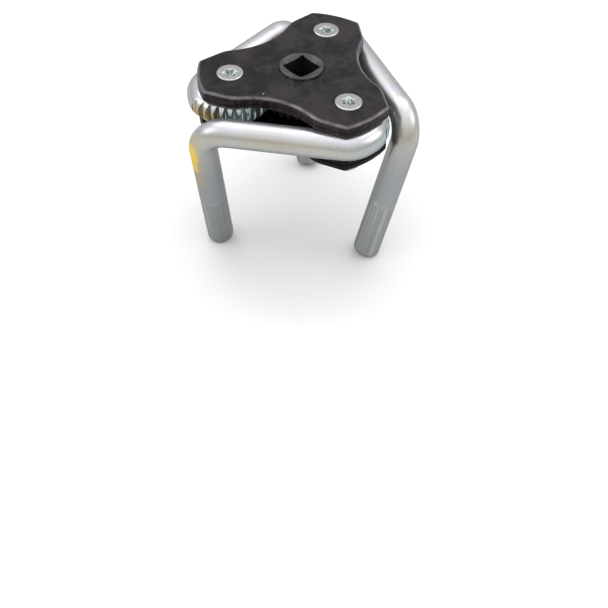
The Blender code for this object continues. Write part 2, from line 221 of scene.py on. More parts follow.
def sharp_outline(n_end=6, n_side=9):
    pts, rad = [], []
    sr, st = SHOULDER
    for k in range(3):
        a = 2 * pi / 3 * k
        end = arc_between(LOBE_CORNER[1], LOBE_CORNER[0], LOBE_TIP, n_end)
        for i, p in enumerate(end):
            pts.append(rot2(p, a))
            rad.append(1.3 if i in (0, len(end) - 1) else 0.0)
        pts.append(rot2((sr, st), a))
        rad.append(5.0)
        c, s = cos(pi / 3), sin(pi / 3)
        dm, tm = sr * c + st * s, -sr * s + st * c
        side = arc_between(abs(tm), dm, WAIST, n_side)
        for p in side[1:-1]:
            pts.append(rot2(p, a + pi / 3))
            rad.append(0.0)
        pts.append(rot2((sr, -st), a + 2 * pi / 3))
        rad.append(5.0)
    return pts, rad


def inset(pts, d):
    n = len(pts)
    out = []
    for i in range(n):
        p0, p1, p2 = (np.array(pts[(i + j) % n]) for j in (-1, 0, 1))
        e1, e2 = (p1 - p0) / np.linalg.norm(p1 - p0), (p2 - p1) / np.linalg.norm(p2 - p1)
        n1, n2 = np.array((-e1[1], e1[0])), np.array((-e2[1], e2[0]))
        b = n1 + n2
        out.append(p1 + b * d / (1 + float(n1 @ n2)))
    # where a tight corner folds back on itself, its points are laid along the chord instead
    for _ in range(80):
        back = [i for i in range(n) if float((out[(i + 1) % n] - out[i]) @ (np.array(pts[(i + 1) % n]) - np.array(pts[i])))
                <= 0.04 * float(np.sum((np.array(pts[(i + 1) % n]) - np.array(pts[i])) ** 2))]
        if not back:
            break
        runs, seen = [], set(back)
        for i in back:
            if (i - 1) % n not in seen:
                j = i
                while (j + 1) % n in seen and j - i < n:
                    j += 1
                runs.append((i - 1, j + 2))
        for lo, hi in runs:
            pa, pb = out[lo % n].copy(), out[hi % n].copy()
            for j in range(lo + 1, hi):
                out[j % n] = pa + (pb - pa) * (j - lo) / (hi - lo)
    return [tuple(p) for p in out]


def soft_outline(step=0.42):
    """The sharp outline at an even spacing, softened along its length: least at the lobes' corners."""
    pts, rad = sharp_outline(10, 16)
    n = len(pts)
    dense, hard = [], []
    corners = [np.array(p) for p, r in zip(pts, rad) if 0 < r < 2]
    for i in range(n):
        a, b = np.array(pts[i]), np.array(pts[(i + 1) % n])
        m = max(1, int(round(np.linalg.norm(b - a) / 0.12)))
        for j in range(m):
            dense.append(a + (b - a) * j / m)
    dense = np.array(dense)
    seg = np.linalg.norm(np.roll(dense, -1, 0) - dense, axis=1)
    s = np.concatenate(([0.0], np.cumsum(seg)[:-1]))
    total = float(seg.sum())
    count = int(round(total / step / 3)) * 3
    out = []
    for k in range(count):
        s0 = total * k / count
        i = int(np.searchsorted(s, s0, side='right')) - 1
        here = dense[i]
        gap = min(np.linalg.norm(here - c) for c in corners)
        sigma = 0.35 + (1.9 - 0.35) * min(1.0, max(0.0, (gap - 1.0) / 4.5))
        d = (s - s0 + total / 2) % total - total / 2
        w = np.exp(-0.5 * (d / sigma) ** 2) * seg
        out.append(tuple((dense * w[:, None]).sum(0) / w.sum()))
    return out


def loft(name, rings):
    me = bpy.data.meshes.new(name)
    bm = bmesh.new()
    rows = [[bm.verts.new((x * MM, y * MM, z * MM)) for x, y in ring] for ring, z in rings]
    n = len(rows[0])
    for lo, hi in zip(rows, rows[1:]):
        for i in range(n):
            bm.faces.new((lo[i], lo[(i + 1) % n], hi[(i + 1) % n], hi[i]))
    # level ends as rings towards the middle, so no face is large and hollow-sided
    for row, flip in ((rows[0], True), (rows[-1], False)):
        prev, c = row, Vector((0, 0, row[0].co.z))
        for k in (0.975, 0.92, 0.82, 0.68, 0.52, 0.36, 0.20, 0.08):
            ring = [bm.verts.new(c + (v.co - c) * k) for v in row]
            for i in range(n):
                q = (prev[i], prev[(i + 1) % n], ring[(i + 1) % n], ring[i])
                bm.faces.new(tuple(reversed(q)) if flip else q)
            prev = ring
        mid = bm.verts.new(c)
        for i in range(n):
            q = (prev[i], prev[(i + 1) % n], mid)
            bm.faces.new(tuple(reversed(q)) if flip else q)
    face_out(bm)
    bm.to_mesh(me)
    bm.free()
    return me


def plate_mesh(name, up):
    """Blanked plate: rolled rim, bright-sheared band, tear line and broken band below."""
    pts = soft_outline()
    steps = [(0.42, -PLATE_T), (0.20, -PLATE_T + 0.06), (0.10, -PLATE_T + 0.25), (0.06, -4.3), (0.07, -3.45),
             (0.12, -3.22), (0.42, -3.12), (0.46, -2.98), (0.40, -2.86), (0.03, -2.80), (0.0, -2.66), (0.0, -2.2)]
    n = 10
    for i in range(n + 1):
        w = radians(90.0 * i / n)
        steps.append((EDGE_ROLL * 1.08 * (1 - cos(w)), -EDGE_ROLL * 0.9 * (1 - sin(w))))
    rings = [(inset(pts, d), z) for d, z in steps]
    if up < 0:
        rings = [(ring, -z) for ring, z in reversed(rings)]
    return loft(name, rings)


# ------------------------------------------------------------------ gear teeth
def inv(a):
    return tan(a) - a


def tooth(n_teeth, centre, fine=5):
    rp = MODULE * n_teeth / 2
    rb = rp * cos(PRESSURE)
    rf, ra = rp - 1.22 * MODULE, rp + 0.97 * MODULE

    def half(r):
        ar = acos(min(1.0, rb / max(r, rb)))
        return pi / (2 * n_teeth) - THINNING / (2 * rp) + inv(PRESSURE) - inv(ar)
    side = [(half(rf) + 0.16 / rf, rf), (half(rf) + 0.03 / rf, rf + 0.12)]
    for i in range(1, fine + 1):
        r = rf + 0.12 + (ra - rf - 0.12) * i / fine
        side.append((half(r), r))
    h, r = side[-1]
    side[-1] = (h, r - 0.10)
    side.append((max(h - 0.09 / r, 0.004), r))
    return [(centre - h, r) for h, r in side] + [(centre + h, r) for h, r in reversed(side)]


def ring_outline(n_teeth, phase):
    pts = []
    for i in range(n_teeth):
        for a, r in tooth(n_teeth, phase + 2 * pi * i / n_teeth):
            pts.append((r * cos(a), r * sin(a)))
    return pts


def tooth_centres():
    pitch = 2 * pi / TEETH_ARM
    to_sun = pi - ARM_YAW
    start, stop = radians(TOOTH_FROM), radians(TOOTH_TO)
    i0 = int((start - to_sun) / pitch) - 2
    out = []
    for i in range(i0, i0 + 2 * TEETH_ARM):
        c = to_sun + (i + 0.5) * pitch
        if c - pitch / 2 >= start and c + pitch / 2 <= stop:
            out.append(c)
    return out


def head_outline():
    """Plan of the barrel: full width where the teeth are and under the bar's wrap, small at the back."""
    last = tooth_centres()[-1] + pi / TEETH_ARM
    pts = []
    a = radians(HEAD_FROM)
    while a < last:
        pts.append((16.0 * cos(a), 16.0 * sin(a)))
        a += radians(2)
    pts.append((16.0 * cos(last), 16.0 * sin(last)))
    a = last + radians(3)
    while a < radians(360 + 80):
        pts.append((BLANK_R * cos(a), BLANK_R * sin(a)))
        a += radians(3)
    for d in range(84, int(HEAD_FROM) - 1, 6):
        pts.append((10.6 * cos(radians(d)), 10.6 * sin(radians(d))))
    return pts


def tooth_gaps():
    """One outline for each space between teeth; those next to the bar run out shallower."""
    pitch = 2 * pi / TEETH_ARM
    cs = tooth_centres()
    first = cs[0]
    cs = [first - 2 * pitch, first - pitch] + cs
    out = []
    for i, c in enumerate(cs[:-1]):
        lift = {0: 1.15, 1: 0.45}.get(i, 0.0)
        side = [(h - c, r) for h, r in reversed(tooth(TEETH_ARM, c)[len(tooth(TEETH_ARM, c)) // 2:])]
        low = side[0][1] + lift
        side = [(h, r) for h, r in side if r >= low - 1e-6] or side[-1:]
        # a round root: the space is never narrower there than a small circle
        cr, cc = 0.60, low + 0.48
        rounded_side = []
        for j in range(7):
            r = low - 0.12 + 0.60 * j / 6
            w = sqrt(max(0.0, cr * cr - (r - cc) ** 2)) / r
            rounded_side.append((pitch / 2 - w, r))
        top = rounded_side[-1]
        side = rounded_side + [(min(h, top[0]) if r < top[1] + 0.35 else h, r) for h, r in side if r > top[1] + 0.02]
        tip_h = side[-1][0]
        pts = [(c + h, r) for h, r in side] + [(c + tip_h * 0.8, 17.5), (c + pitch - tip_h * 0.8, 17.5)]
        pts += [(c + pitch - h, r) for h, r in reversed(side)]
        out.append([(r * cos(w), r * sin(w)) for w, r in pts])
    return out


# ------------------------------------------------------------------ bent bar
def bar_path():
    pts = []
    n = 30
    for i in range(n + 1):
        s = i / n
        ang = radians(190 - 100 * s)
        t = min(1.0, max(0.0, (radians(142) - ang) / radians(52)))
        t = t * t * (3 - 2 * t)
        rho = WRAP_RHO + (BAR_OFFSET - WRAP_RHO) * t
        e = min(1.0, s / 0.46)
        e = e * e * (3 - 2 * e)
        rho = 9.70 + (rho - 9.70) * e
        f = 0.945 + 0.055 * e
        pts.append((rho * cos(ang), rho * sin(ang), 0.0, f))
    for s in (0.15, 0.35, 0.6, 0.85):
        pts.append((s * (BAR_LEN - 10.0), BAR_OFFSET, 0.0, 1.0))
    corner = Vector((BAR_LEN, BAR_OFFSET, 0))
    foot = Vector((FOOT_U, FOOT_N, FOOT_Z))
    d1 = Vector((1, 0, 0))
    d2 = (foot - corner).normalized()
    turn = acos(d1.dot(d2))
    t = BEND_R * tan(turn / 2)
    p1 = corner - d1 * t
    nrm = (d2 - d1 * d1.dot(d2)).normalized()
    c = p1 + nrm * BEND_R
    n = 28
    for i in range(n + 1):
        a = turn * i / n
        p = c - nrm * BEND_R * cos(a) + d1 * BEND_R * sin(a)
        # the outside of a cold bend pulls slightly thinner
        pts.append((p.x, p.y, p.z, 1.0 - 0.012 * sin(pi * i / n)))
    for back in (40.0, 25.0, 10.0, 4.0):
        p = foot - d2 * back
        pts.append((p.x, p.y, p.z, 1.0))
    for back, f in ((2.2, 1.0), (1.5, 0.985), (0.95, 0.945), (0.5, 0.87), (0.2, 0.79), (0.05, 0.72), (0.0, 0.66)):
        p = foot - d2 * back
        pts.append((p.x, p.y, p.z, f))
    return pts


def bar_mesh(name, sides=22):
    cu = bpy.data.curves.new(name, 'CURVE')
    cu.dimensions = '3D'
    cu.bevel_depth = BAR_R * MM
    cu.bevel_resolution = sides
    cu.use_fill_caps = True
    cu.twist_mode = 'MINIMUM'
    sp = cu.splines.new('POLY')
    path = bar_path()
    sp.points.add(len(path) - 1)
    for p, (x, y, z, f) in zip(sp.points, path):
        p.co = (x * MM, y * MM, z * MM, 1)
        p.radius = f
    return weld(bake(holder(name, cu)))


# ------------------------------------------------------------------ node-graph helpers
class Graph:
    def __init__(self, name):
        self.mat = bpy.data.materials.new(name)
        self.mat.use_nodes = True
        self.t = self.mat.node_tree
        self.bsdf = self.t.nodes["Principled BSDF"]
        self.co = self.t.nodes.new("ShaderNodeTexCoord").outputs["Object"]

    def node(self, kind, **inputs):
        n = self.t.nodes.new(kind)
        for k, v in inputs.items():
            self.put(n.inputs[k.replace('_', ' ')] if isinstance(k, str) else n.inputs[k], v)
        return n

    def put(self, sock, v):
        if hasattr(v, "links") or isinstance(v, bpy.types.NodeSocket):
            self.t.links.new(v, sock)
        else:
            sock.default_value = v

    def noise(self, scale, detail=4.0, rough=0.55, vec=None, stretch=None):
        v = vec or self.co
        if stretch:
            m = self.t.nodes.new("ShaderNodeMapping")
            m.inputs["Scale"].default_value = stretch
            self.put(m.inputs["Vector"], v)
            v = m.outputs[0]
        n = self.t.nodes.new("ShaderNodeTexNoise")
        n.inputs["Scale"].default_value = scale
        n.inputs["Detail"].default_value = detail
        n.inputs["Roughness"].default_value = rough
        self.put(n.inputs["Vector"], v)
        return n.outputs["Fac"]

    def ramp(self, fac, stops):
        n = self.t.nodes.new("ShaderNodeValToRGB")
        e = n.color_ramp.elements
        while len(e) < len(stops):
            e.new(0.5)
        for el, (p, c) in zip(e, stops):
            el.position = p
            el.color = (c, c, c, 1) if isinstance(c, (int, float)) else (c[0], c[1], c[2], 1)
        self.put(n.inputs[0], fac)
        return n.outputs[0]

    def span(self, v, a, b, c, d, clamp=True):
        n = self.t.nodes.new("ShaderNodeMapRange")
        n.clamp = clamp
        for i, x in enumerate((v, a, b, c, d)):
            self.put(n.inputs[i], x)
        return n.outputs[0]

    def math(self, op, a, b=None, clamp=False):
        n = self.t.nodes.new("ShaderNodeMath")
        n.operation = op
        n.use_clamp = clamp
        self.put(n.inputs[0], a)
        if b is not None:
            self.put(n.inputs[1], b)
        return n.outputs[0]

    def mix(self, fac, a, b, mode='MIX'):
        n = self.t.nodes.new("ShaderNodeMix")
        n.data_type = 'RGBA'
        n.blend_type = mode
        self.put(n.inputs[0], fac)
        for sock, v in ((n.inputs[6], a), (n.inputs[7], b)):
            self.put(sock, v if not isinstance(v, tuple) else (v[0], v[1], v[2], 1.0))
        return n.outputs[2]

    def xyz(self, vec=None):
        n = self.t.nodes.new("ShaderNodeSeparateXYZ")
        self.put(n.inputs[0], vec or self.co)
        return n.outputs

    def dot(self, axis):
        n = self.t.nodes.new("ShaderNodeVectorMath")
        n.operation = 'DOT_PRODUCT'
        self.put(n.inputs[0], self.co)
        n.inputs[1].default_value = axis
        return n.outputs["Value"]

    def along(self, axis, stretch):
        """Object coordinates with the length along axis pressed together, so noise draws out into lines."""
        d = Vector(axis).normalized()
        e1 = d.orthogonal().normalized()
        e2 = d.cross(e1)
        c = self.t.nodes.new("ShaderNodeCombineXYZ")
        self.put(c.inputs[0], self.dot(tuple(e1)))
        self.put(c.inputs[1], self.dot(tuple(e2)))
        self.put(c.inputs[2], self.dot(tuple(d * stretch)))
        return c.outputs[0]

    def streak(self, a, b, radius):
        """1 on the line from a to b, falling to 0 at the radius."""
        m = None
        a, b = Vector(a), Vector(b)
        n = max(2, int((b - a).length / (radius * 0.45)) + 1)
        for i in range(n):
            s = self.near(tuple(a + (b - a) * i / (n - 1)), radius)
            m = s if m is None else self.math('MAXIMUM', m, s)
        return m

    def near(self, point, radius):
        """1 at a point of the object's own space, falling to 0 at the radius."""
        n = self.t.nodes.new("ShaderNodeVectorMath")
        n.operation = 'DISTANCE'
        self.put(n.inputs[0], self.co)
        n.inputs[1].default_value = point
        return self.span(n.outputs["Value"], 0.0, radius, 1.0, 0.0)

    def bump(self, height, strength, distance, normal=None):
        n = self.t.nodes.new("ShaderNodeBump")
        n.inputs["Strength"].default_value = strength
        n.inputs["Distance"].default_value = distance
        self.put(n.inputs["Height"], height)
        if normal is not None:
            self.put(n.inputs["Normal"], normal)
        return n.outputs[0]

    def out(self, **sockets):
        for k, v in sockets.items():
            self.put(self.bsdf.inputs[k.replace('_', ' ')], v if not isinstance(v, tuple) else (v[0], v[1], v[2], 1.0))
        return self.mat


def black_oxide(name, dark, light, rim, rim_k=1.0, rough=(0.30, 0.46), spec=0.17, metal=0.0, nicks=(), rust=(), bore=None):
    g = Graph(name)
    geo = g.t.nodes.new("ShaderNodeNewGeometry")
    nz = g.math('ABSOLUTE', g.xyz(geo.outputs["Normal"])[2])
    scuff = g.noise(520, 3, 0.6, stretch=(1.0, 0.10, 1.0))
    broad = g.noise(85, 4, 0.6)
    cloud = g.noise(360, 4, 0.6)
    grain = g.noise(2400, 3, 0.6)
    fleck = g.noise(1150, 2, 0.5)
    tone = g.math('ADD', g.math('MULTIPLY', broad, 0.65), g.math('MULTIPLY', cloud, 0.35))
    col = g.mix(g.span(tone, 0.43, 0.57, 0.0, 1.0), dark, light)
    col = g.mix(g.span(g.noise(48, 3, 0.5), 0.50, 0.66, 0.0, 0.45), col, tuple(c * k for c, k in zip(light, (1.30, 1.0, 1.02))))
    col = g.mix(g.math('MULTIPLY', g.span(grain, 0.60, 0.78, 0.0, 1.0), 0.30), col, tuple(2.0 * c for c in light))
    col = g.mix(g.span(fleck, 0.70, 0.76, 0.0, 0.35), col, tuple(5.0 * c for c in light))
    col = g.mix(g.span(scuff, 0.66, 0.74, 0.0, 0.30), col, tuple(3.2 * c for c in light))
    # painted sheen with wear: the rolled rim, picked out by its slope, is lightened to the rim colour, mottled like
    # rubbed oxide
    rolled = g.math('MULTIPLY', g.span(nz, 0.25, 0.60, 0.0, 1.0), g.span(nz, 0.80, 0.975, 1.0, 0.0))
    rim_wear_and_sheen = g.math('MULTIPLY', rolled, g.span(g.noise(230, 5, 0.65), 0.34, 0.62, 0.40, 1.0))
    rim_wear_and_sheen = g.math('MULTIPLY', rim_wear_and_sheen, rim_k)
    col = g.mix(rim_wear_and_sheen, col, rim)
    # the sheared side: fine upright drag lines
    side = g.span(nz, 0.10, 0.30, 1.0, 0.0)
    drag = g.noise(900, 3, 0.6, stretch=(1.0, 1.0, 0.12))
    col = g.mix(g.math('MULTIPLY', side, g.span(drag, 0.50, 0.68, 0.0, 0.55)), col, tuple(2.6 * c for c in light))
    r = g.span(g.math('ADD', g.math('MULTIPLY', cloud, 0.55), g.math('MULTIPLY', grain, 0.45)), 0.32, 0.68, rough[0], rough[1])
    h = g.bump(grain, 0.16, 0.00005)
    h = g.bump(cloud, 0.16, 0.00012, h)
    h = g.bump(g.math('MULTIPLY', side, drag), 0.35, 0.00008, h)
    shine = g.math('MULTIPLY', rim_wear_and_sheen, 0.70)
    for p0, p1, w in rust:
        hit = g.math('MULTIPLY', g.streak(p0, p1, w), g.span(g.noise(700, 3), 0.30, 0.56, 0.8, 1.25))
        hit = g.span(hit, 0.25, 0.60, 0.0, 0.85)
        col = g.mix(hit, col, (0.055, 0.030, 0.016))
        r = g.math('ADD', r, g.math('MULTIPLY', hit, 0.25))
    for p0, w in nicks:
        hit = g.math('MULTIPLY', g.near(p0, w), g.span(g.noise(1500, 2), 0.42, 0.58, 0.2, 1.5))
        hit = g.span(hit, 0.30, 0.60, 0.0, 0.85)
        col = g.mix(hit, col, (0.34, 0.31, 0.30))
        shine = g.math('MAXIMUM', shine, g.math('MULTIPLY', hit, 0.5))
    if bore:
        # painted shade: the hole's own walls are made far blacker than the face
        rad, top = bore
        x, y, z = g.xyz()
        rr2 = g.math('SQRT', g.math('ADD', g.math('MULTIPLY', x, x), g.math('MULTIPLY', y, y)))
        inner = g.math('MULTIPLY', g.span(rr2, rad, rad + 0.0004, 1.0, 0.0), g.span(z, top - 0.0010, top - 0.0004, 1.0, 0.0))
        socket_shade = g.math('MULTIPLY', inner, g.span(nz, 0.05, 0.20, 1.0, 0.0))
        col = g.mix(socket_shade, col, (0.012, 0.012, 0.013))
    g.bsdf.inputs["Specular IOR Level"].default_value = spec
    return g.out(Base_Color=col, Metallic=g.math('ADD', shine, metal, clamp=True), Roughness=r, Normal=h)


def zinc(name, base=(0.385, 0.400, 0.405), rough=(0.23, 0.33), leg=None, run=None, yellow=(), rubs=(), edge=0.62, straw=0.5, metal=1.0, recess_shade=(), sand_and_rim_highlight=0.0, head=None, groove_shade_centre=None):
    """Bright zinc over drawn round bar. leg and run are (point, axis) of the straight stretches."""
    g = Graph(name)
    geo = g.t.nodes.new("ShaderNodeNewGeometry")
    nz = g.xyz(geo.outputs["Normal"])[2]
    broad = g.noise(60, 4, 0.6)
    cloud = g.noise(310, 4, 0.6)
    grain = g.noise(2100, 3, 0.65)
    col = g.mix(g.span(broad, 0.36, 0.66, 0.0, 1.0), base, tuple(c * 0.93 for c in base))
    # painted warm reflection: straw below the shoulder of the bar; thin passivation film: lilac and peach on its crown
    warm_reflection_mottle = g.noise(95, 3, 0.55, stretch=(1.0, 1.0, 0.6))
    film2 = g.noise(140, 3, 0.55, stretch=(0.7, 1.0, 1.0))
    side_warm_reflection = g.math('MULTIPLY', g.span(nz, -0.35, 0.10, 0.0, 1.0), g.span(nz, 0.50, 0.80, 1.0, 0.0))
    crown = g.span(nz, 0.45, 0.85, 0.0, 1.0)
    up = g.span(g.xyz()[2], -0.012, 0.001, 0.25, 1.0)
    if head:
        side_warm_reflection = g.math('MULTIPLY', side_warm_reflection, g.span(g.near(head, 0.020), 0.10, 0.22, 1.0, 0.1))
    col = g.mix(g.math('MULTIPLY', g.math('MULTIPLY', side_warm_reflection, up), g.span(warm_reflection_mottle, 0.34, 0.60, 0.35 * straw, 1.25 * straw)),
                col, (base[0] * 1.04, base[1] * 0.93, base[2] * 0.70))
    col = g.mix(g.math('MULTIPLY', crown, g.span(film2, 0.49, 0.64, 0.0, 0.80)), col, (base[0] * 1.07, base[1] * 0.96, base[2] * 1.14))
    col = g.mix(g.math('MULTIPLY', crown, g.span(film2, 0.47, 0.34, 0.0, 0.70)), col, (base[0] * 1.13, base[1] * 1.00, base[2] * 0.89))
    # painted highlight: the upward-facing crown of the bar, higher up, is lightened
    col = g.mix(g.math('MULTIPLY', crown, up), col, (1.12, 1.12, 1.14), 'MULTIPLY')
    if groove_shade_centre:
        # painted shade: the head's sides and grooves are darkened to grey-green
        groove_shade = g.math('MULTIPLY', g.span(g.near(groove_shade_centre, 0.020), 0.16, 0.28, 0.0, 1.0), g.span(nz, 0.40, 0.70, 1.0, 0.0))
        groove_shade = g.math('MULTIPLY', groove_shade, g.span(g.noise(210, 3), 0.30, 0.60, 0.6, 1.0))
        col = g.mix(groove_shade, col, (base[0] * 0.74, base[1] * 0.92, base[2] * 0.97))
    # dull freckles and pinholes in the plating
    col = g.mix(g.span(g.noise(820, 2, 0.5), 0.62, 0.74, 0.0, 0.30), col, tuple(c * 0.66 for c in base))
    col = g.mix(g.span(g.noise(1700, 2, 0.5), 0.70, 0.78, 0.0, 0.45), col, tuple(c * 0.50 for c in base))
    r = g.span(g.math('ADD', g.math('MULTIPLY', cloud, 0.6), g.math('MULTIPLY', grain, 0.4)), 0.32, 0.68, rough[0], rough[1])
    h = g.bump(g.noise(150, 3, 0.5), 0.10, 0.00022)
    h = g.bump(grain, 0.10, 0.00003, h)
    for part, k in ((leg, 1.0), (run, 0.45)):
        if not part:
            continue
        point, axis = part
        d = Vector(axis).normalized()
        s = g.math('SUBTRACT', g.dot(tuple(d)), float(Vector(point).dot(d)))
        on = g.math('MULTIPLY', g.span(s, 0.004, 0.022, 0.0, 1.0), k)
        fine = g.noise(1900, 2, 0.5, vec=g.along(axis, 0.020))
        wide = g.noise(620, 3, 0.6, vec=g.along(axis, 0.045))
        lines = g.math('ADD', g.math('MULTIPLY', fine, 0.65), g.math('MULTIPLY', wide, 0.35))
        col = g.mix(g.math('MULTIPLY', on, g.span(lines, 0.40, 0.62, 0.36, 0.0)), col, tuple(c * 0.62 for c in base))
        col = g.mix(g.math('MULTIPLY', on, g.span(lines, 0.56, 0.70, 0.0, 0.40)), col, tuple(c * 1.22 for c in base))
        r = g.math('ADD', r, g.math('MULTIPLY', on, 0.10))
        h = g.bump(g.math('MULTIPLY', on, lines), 0.30, 0.00005, h)
        if part is leg:
            # painted shade: the whole leg is darkened to a blue-grey, standing in for the darker surroundings it
            # reflects
            col = g.mix(g.math('MULTIPLY', on, 0.62), col, (base[0] * 0.60, base[1] * 0.65, base[2] * 0.69))
            # drawn lines left standing on the lower leg, with a scuffed start
            wob = g.math('ADD', s, g.span(g.noise(240, 2), 0.3, 0.7, -0.0008, 0.0008))
            low = g.span(wob, 0.0368, 0.0382, 0.0, 1.0)
            rib = g.noise(1150, 1, 0.4, vec=g.along(axis, 0.010))
            col = g.mix(g.math('MULTIPLY', low, g.span(rib, 0.40, 0.50, 0.42, 0.0)), col, tuple(c * 0.50 for c in base))
            col = g.mix(g.math('MULTIPLY', low, g.span(rib, 0.56, 0.64, 0.0, 0.40)), col, tuple(c * 1.30 for c in base))
            col = g.mix(g.math('MULTIPLY', low, 0.28), col, tuple(c * 0.70 for c in base))
            h = g.bump(g.math('MULTIPLY', low, rib), 0.45, 0.00008, h)
            line = g.math('MULTIPLY', g.span(wob, 0.0362, 0.0368, 0.0, 1.0), g.span(wob, 0.0370, 0.0376, 1.0, 0.0))
            col = g.mix(g.math('MULTIPLY', line, g.span(g.noise(900, 3), 0.46, 0.60, 0.0, 0.40)), col, (0.56, 0.57, 0.58))
    for a, b, w, c, k in yellow:
        hit = g.math('MULTIPLY', g.streak(a, b, w), g.span(g.noise(260, 3), 0.32, 0.64, 0.72, 1.22))
        hit = g.math('MULTIPLY', g.span(hit, 0.10, 0.80, 0.0, 1.0), k)
        col = g.mix(hit, col, c)
        r = g.math('ADD', r, g.math('MULTIPLY', hit, 0.12))
    for a, b, w in rubs:
        hit = g.math('MULTIPLY', g.streak(a, b, w), g.span(g.noise(1300, 3), 0.46, 0.58, 0.0, 1.0))
        col = g.mix(g.math('MULTIPLY', hit, 0.6), col, (0.66, 0.65, 0.62))
        r = g.math('ADD', r, g.math('MULTIPLY', hit, 0.15))
    if sand_and_rim_highlight:
        sand = g.noise(2600, 2, 0.6)
        col = g.mix(g.span(sand, 0.50, 0.66, 0.0, 0.60 * sand_and_rim_highlight), col, tuple(c * 1.8 for c in base))
        col = g.mix(g.span(sand, 0.46, 0.34, 0.0, 0.60 * sand_and_rim_highlight), col, tuple(c * 0.45 for c in base))
        # painted highlight: the sloped rim of the screw head is lightened
        col = g.mix(g.span(nz, 0.985, 0.90, 0.0, 0.70), col, (0.58, 0.59, 0.585))
        h = g.bump(sand, 0.30, 0.00006, h)
    # painted shade with glints: the star recess is mottled dark teal and grey
    for p0, w, top in recess_shade:
        hit = g.math('MULTIPLY', g.span(g.near(p0, w), 0.05, 0.20, 0.0, 1.0), g.span(g.xyz()[2], top - 0.00012, top - 0.00040, 0.0, 1.0))
        tint = g.mix(g.span(g.noise(1100, 2), 0.44, 0.56, 0.0, 1.0), (0.085, 0.145, 0.140), (0.34, 0.36, 0.35))
        col = g.mix(hit, col, tint)
    g.bsdf.inputs["Specular Tint"].default_value = (edge, edge, edge, 1.0)
    g.bsdf.inputs["Metallic"].default_value = metal
    return g.out(Base_Color=col, Roughness=r, Normal=h)


# ------------------------------------------------------------------ materials
plate_mat = black_oxide("black_oxide_top", (0.0035, 0.0033, 0.0040), (0.0175, 0.0152, 0.0178), (0.175, 0.156, 0.166), spec=0.115,
                        nicks=[((0.0155, 0.0136, 0.0162), 0.0008), ((0.0149, 0.0130, 0.0163), 0.0005)],
                        rust=[((0.0335, 0.0112, 0.0136), (0.0262, 0.0150, 0.0136), 0.0009)])
# painted shade: the bottom plate is the same black oxide made darker, with a dim rim
plate_mat_shaded = black_oxide("black_oxide_bottom_shaded", (0.0040, 0.0038, 0.0042), (0.0070, 0.0065, 0.0073), (0.022, 0.020, 0.022), spec=0.06)
hub_mat = black_oxide("gear_phosphate", (0.026, 0.024, 0.027), (0.056, 0.052, 0.056), (0.120, 0.112, 0.118), rough=(0.28, 0.42), metal=0.30,
                      bore=(0.0073, zz(HUB_RISE)))


def arm_place(k, p):
    """A point of the arm's own space (mm) in the model, at rest (m)."""
    a = 2 * pi / 3 * k
    q = Matrix.Rotation(a + ARM_YAW, 4, 'Z') @ Vector(p)
    return (q + Vector((PIVOT_R * cos(a), PIVOT_R * sin(a), Z_MID + Z_TOP))) * MM


STRAW, GOLD = (0.46, 0.36, 0.19), (0.80, 0.57, 0.07)
arm_mats = []
for k in range(3):
    corner_k, foot_k = arm_place(k, (BAR_LEN, BAR_OFFSET, 0)), arm_place(k, (FOOT_U, FOOT_N, FOOT_Z))
    start_k = arm_place(k, (0, BAR_OFFSET, 0))
    stains, rub = [], []
    if k == 0:
        stains = [((0.0398, -0.0040, 0.0068), (0.0390, 0.0050, 0.0040), 0.0040, (0.50, 0.37, 0.16), 0.9),
                  ((0.0370, 0.0092, 0.0062), (0.0322, 0.0131, 0.0058), 0.0042, (0.50, 0.38, 0.13), 0.8),
                  ((0.0380, 0.0055, 0.0080), (0.0372, 0.0075, 0.0020), 0.0016, GOLD, 0.55)]
    if k == 1:
        stains = [((0.0408, 0.0202, 0.0020), (0.0398, 0.0165, -0.0190), 0.0048, STRAW, 0.55),
                  ((0.0416, 0.0200, -0.0008), (0.0411, 0.0192, -0.0048), 0.0034, GOLD, 1.0),
                  ((0.0411, 0.0192, -0.0048), (0.0404, 0.0182, -0.0110), 0.0023, GOLD, 0.9)]
    if k == 2:
        rub = [((-0.0251, 0.0261, -0.0272), (-0.0236, 0.0268, -0.0276), 0.0016)]
    arm_mats.append(zinc("zinc_arm_%d" % (k + 1), leg=(corner_k, foot_k - corner_k), run=(start_k, corner_k - start_k), yellow=stains, rubs=rub,
                         base=(0.410, 0.420, 0.424), metal=0.88,
                         head=None if k == 0 else tuple(arm_place(k, (0, 0, 0))),
                         groove_shade_centre=tuple(arm_place(k, (0, 0, 0)))))
screw_mat = zinc("zinc_screw", base=(0.235, 0.240, 0.236), rough=(0.30, 0.46), straw=0.0, edge=0.9, sand_and_rim_highlight=1.0,
                 recess_shade=[((PIVOT_R * cos(2 * pi / 3 * i) * MM, PIVOT_R * sin(2 * pi / 3 * i) * MM, zz(SCREW_RISE - 0.6)), 0.0032, zz(SCREW_RISE)) for i in range(3)])
nut_mat = zinc("zinc_nut", base=(0.44, 0.45, 0.46), rough=(0.2, 0.34), straw=0.3)
sleeve_mat = zinc("steel_sleeve", base=(0.34, 0.34, 0.35), rough=(0.25, 0.38), straw=0.0)

